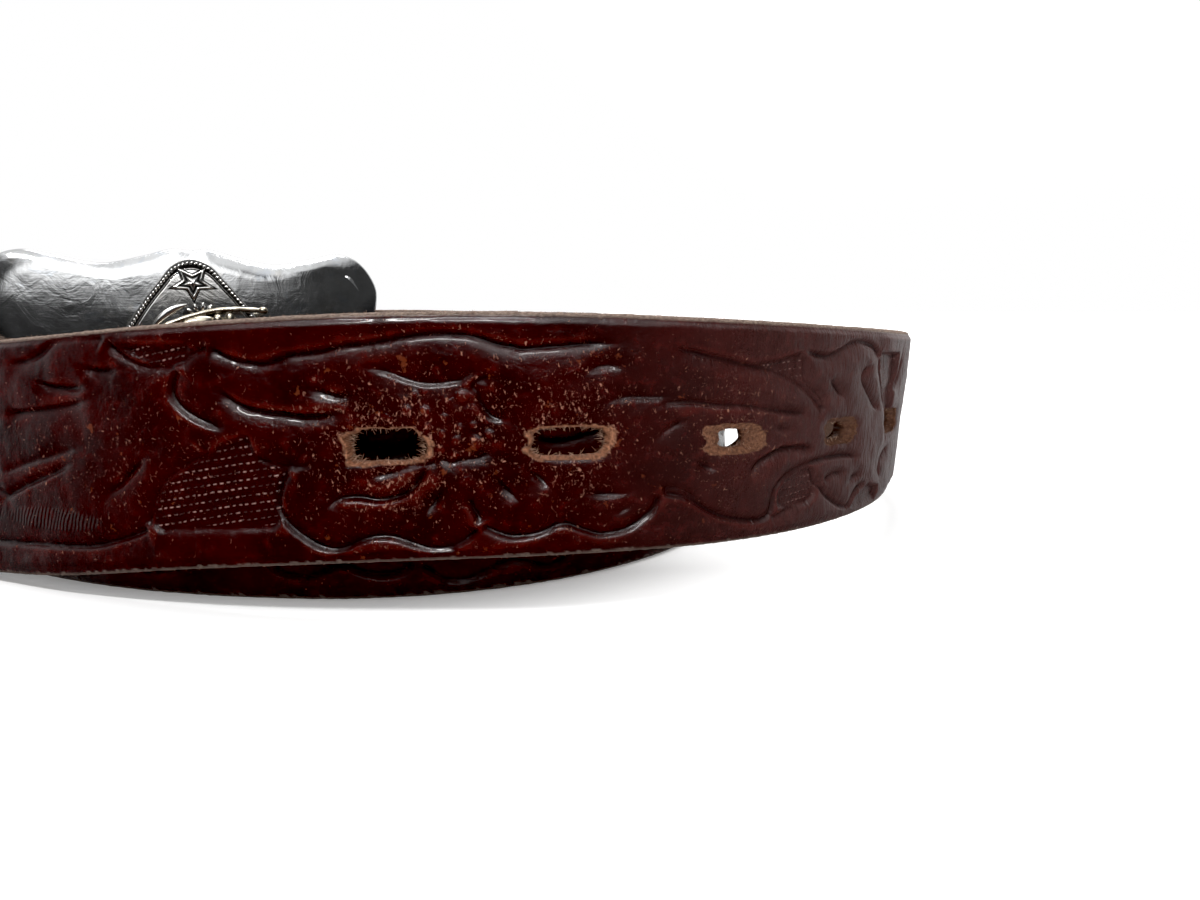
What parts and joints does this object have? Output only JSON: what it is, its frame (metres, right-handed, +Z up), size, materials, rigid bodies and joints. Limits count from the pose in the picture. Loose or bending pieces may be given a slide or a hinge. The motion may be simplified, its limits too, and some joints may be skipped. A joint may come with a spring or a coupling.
{
  "type": "western tooled belt",
  "caption": "Tooled leather belt rolled up on its edge, with punched slots near its tapered tip and a scalloped domed buckle inside the roll.",
  "frame": {"origin": "bottom centre of the bounding box, on the table that the belt's lower edge stands on", "axes": "+Z up, +X to the right along the front of the roll as seen from the side with the slots, +Y away from that side"},
  "size_m": [0.2136, 0.1712, 0.0563],
  "materials": {
    "leather": "glossy dark red brown, tooled on the outer side",
    "silver": "polished and finely scratched",
    "emblem_silver": "polished, darkened in the recesses",
    "brass": "worn, antiqued"
  },
  "bodies": {
    "strap": {"belt_strap": "leather", "fold_snap_1": "silver", "fold_snap_2": "silver"},
    "buckle": {"buckle_plate": "silver", "buckle_emblem": "emblem_silver", "buckle_crest": "brass"}
  },
  "joints": [
    {"name": "buckle_swing", "type": "hinge", "parent": "strap", "child": "buckle", "pos_m": [-0.01998, -0.0106, 0.0288], "axis": [0, 0, -1], "range_deg": [-3, 140]}
  ]
}
